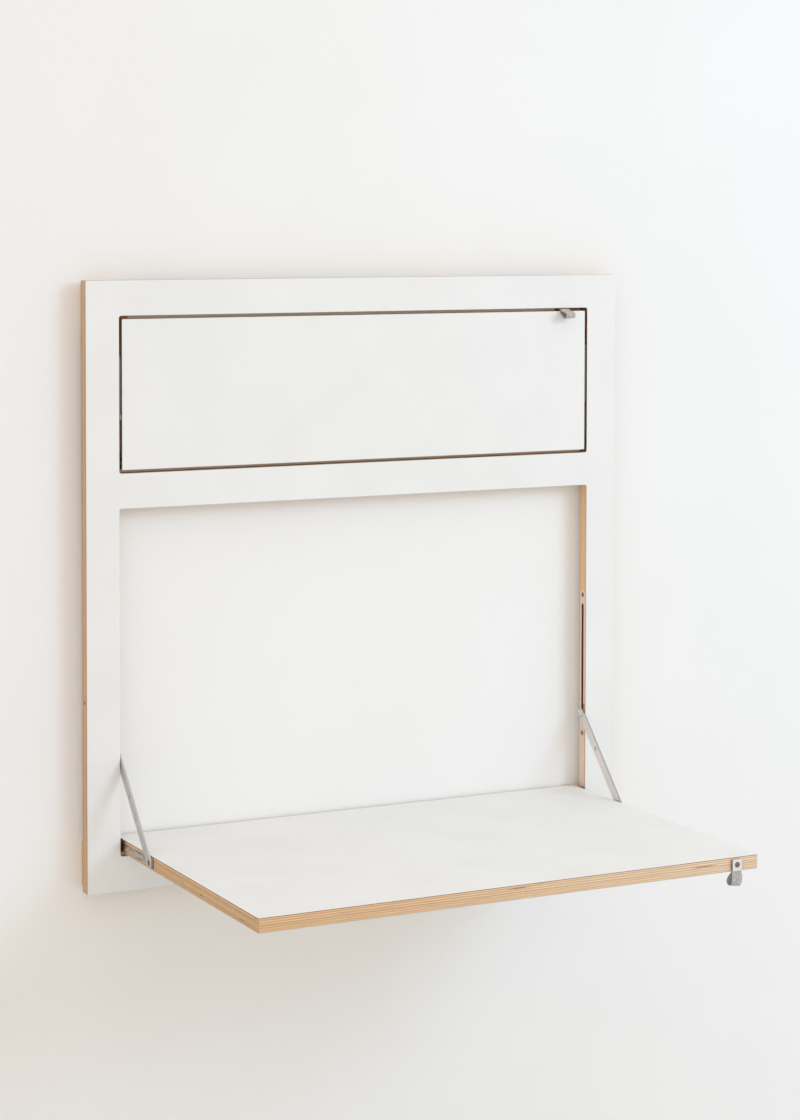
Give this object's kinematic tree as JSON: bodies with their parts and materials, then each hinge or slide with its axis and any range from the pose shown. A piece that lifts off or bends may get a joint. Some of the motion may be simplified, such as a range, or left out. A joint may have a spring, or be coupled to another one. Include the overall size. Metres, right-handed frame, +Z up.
{
  "type": "fold down wall desk",
  "caption": "Wall-hung plywood frame with white laminate faces, a fold-down desk panel on slotted steel stays and a small fold-down flap above, each with a felt pull strap.",
  "frame": {"origin": "on the wall plane, at the centre of the four keyhole entry holes that hang the frame, which is also the middle of the frame's outline", "axes": "+X to the right seen from the room, +Y into the wall, +Z up"},
  "size_m": [0.8, 0.4627, 0.8],
  "materials": {
    "birch_plywood": "lacquered ply edge",
    "white_laminate": "satin",
    "stainless_steel": "brushed",
    "zinc_steel": "zinc plated",
    "dark_screw": "dark, satin",
    "satin_plate": "satin",
    "nylon": "matt",
    "wool_felt": "felted wool"
  },
  "bodies": {
    "desk": {"desk_core": "birch_plywood", "desk_pivot_rivets": "stainless_steel", "desk_pivot_washers": "nylon", "desk_pull_strap": "wool_felt", "desk_side_plate_left": "stainless_steel", "desk_side_plate_right": "stainless_steel", "desk_side_plate_screws": "zinc_steel", "desk_strap_plate": "satin_plate", "desk_strap_screw": "dark_screw", "desk_top_laminate": "white_laminate", "desk_under_laminate": "white_laminate"},
    "frame": {"desk_hinge_pins": "stainless_steel", "desk_hinge_washers": "nylon", "desk_rail_left": "stainless_steel", "desk_rail_right": "stainless_steel", "desk_rail_screws": "zinc_steel", "flap_hinge_pins": "stainless_steel", "flap_hinge_washers": "nylon", "flap_rail_left": "stainless_steel", "flap_rail_right": "stainless_steel", "flap_rail_screws": "zinc_steel", "frame_back_laminate": "white_laminate", "frame_core": "birch_plywood", "frame_front_laminate": "white_laminate", "hanger_block_screws": "zinc_steel", "hanger_plate_screws": "zinc_steel", "hanger_plates": "zinc_steel", "lower_hanger_blocks": "birch_plywood", "upper_hanger_blocks": "birch_plywood"},
    "desk_slider_left": {"desk_slider_left": "stainless_steel"},
    "desk_slider_right": {"desk_slider_right": "stainless_steel"},
    "desk_strut_left": {"desk_strut_left": "stainless_steel", "desk_strut_rivet_left": "stainless_steel"},
    "desk_strut_right": {"desk_strut_right": "stainless_steel", "desk_strut_rivet_right": "stainless_steel"},
    "flap": {"flap_back_laminate": "white_laminate", "flap_core": "birch_plywood", "flap_front_laminate": "white_laminate", "flap_pivot_rivets": "stainless_steel", "flap_pivot_washers": "nylon", "flap_pull_strap": "wool_felt", "flap_side_plate_left": "stainless_steel", "flap_side_plate_right": "stainless_steel", "flap_side_plate_screws": "zinc_steel", "flap_strap_plate": "satin_plate", "flap_strap_screw": "dark_screw"},
    "flap_slider_left": {"flap_slider_left": "stainless_steel"},
    "flap_slider_right": {"flap_slider_right": "stainless_steel"},
    "flap_strut_left": {"flap_strut_left": "stainless_steel", "flap_strut_rivet_left": "stainless_steel"},
    "flap_strut_right": {"flap_strut_right": "stainless_steel", "flap_strut_rivet_right": "stainless_steel"}
  },
  "joints": [
    {"name": "desk_hinge", "type": "hinge", "parent": "frame", "child": "desk", "pos_m": [0, -0.02, -0.3405], "axis": [-1, 0, 0], "range_deg": [0, 90]},
    {"name": "flap_hinge", "type": "hinge", "parent": "frame", "child": "flap", "pos_m": [0, -0.02, 0.162], "axis": [1, 0, 0], "range_deg": [0, 90]},
    {"name": "desk_strut_left_pivot", "type": "hinge", "parent": "desk", "child": "desk_strut_left", "pos_m": [-0.3525, -0.126, -0.3405], "axis": [1, 0, 0], "range_deg": [0, 133]},
    {"name": "desk_slider_left_slide", "type": "slide", "parent": "frame", "child": "desk_slider_left", "axis": [0, 0, 1], "range_m": [0, 0.1477]},
    {"name": "desk_strut_right_pivot", "type": "hinge", "parent": "desk", "child": "desk_strut_right", "pos_m": [0.3525, -0.126, -0.3405], "axis": [1, 0, 0], "range_deg": [0, 133]},
    {"name": "desk_slider_right_slide", "type": "slide", "parent": "frame", "child": "desk_slider_right", "axis": [0, 0, 1], "range_m": [0, 0.1477]},
    {"name": "flap_strut_left_pivot", "type": "hinge", "parent": "flap", "child": "flap_strut_left", "pos_m": [-0.3525, -0.02, 0.222], "axis": [-1, 0, 0], "range_deg": [0, 142.6]},
    {"name": "flap_slider_left_slide", "type": "slide", "parent": "frame", "child": "flap_slider_left", "axis": [0, 0, -1], "range_m": [0, 0.0899]},
    {"name": "flap_strut_right_pivot", "type": "hinge", "parent": "flap", "child": "flap_strut_right", "pos_m": [0.3525, -0.02, 0.222], "axis": [-1, 0, 0], "range_deg": [0, 142.6]},
    {"name": "flap_slider_right_slide", "type": "slide", "parent": "frame", "child": "flap_slider_right", "axis": [0, 0, -1], "range_m": [0, 0.0899]}
  ],
  "couplings": [
    {"joint": "desk_strut_left_pivot", "follows": "desk_hinge", "ratio": 1.4719},
    {"joint": "desk_slider_left_slide", "follows": "desk_hinge", "m_per_rad": 0.093701},
    {"joint": "desk_strut_right_pivot", "follows": "desk_hinge", "ratio": 1.4719},
    {"joint": "desk_slider_right_slide", "follows": "desk_hinge", "m_per_rad": 0.093701},
    {"joint": "flap_strut_left_pivot", "follows": "flap_hinge", "ratio": 1.5793},
    {"joint": "flap_slider_left_slide", "follows": "flap_hinge", "m_per_rad": 0.056883},
    {"joint": "flap_strut_right_pivot", "follows": "flap_hinge", "ratio": 1.5793},
    {"joint": "flap_slider_right_slide", "follows": "flap_hinge", "m_per_rad": 0.056883}
  ]
}
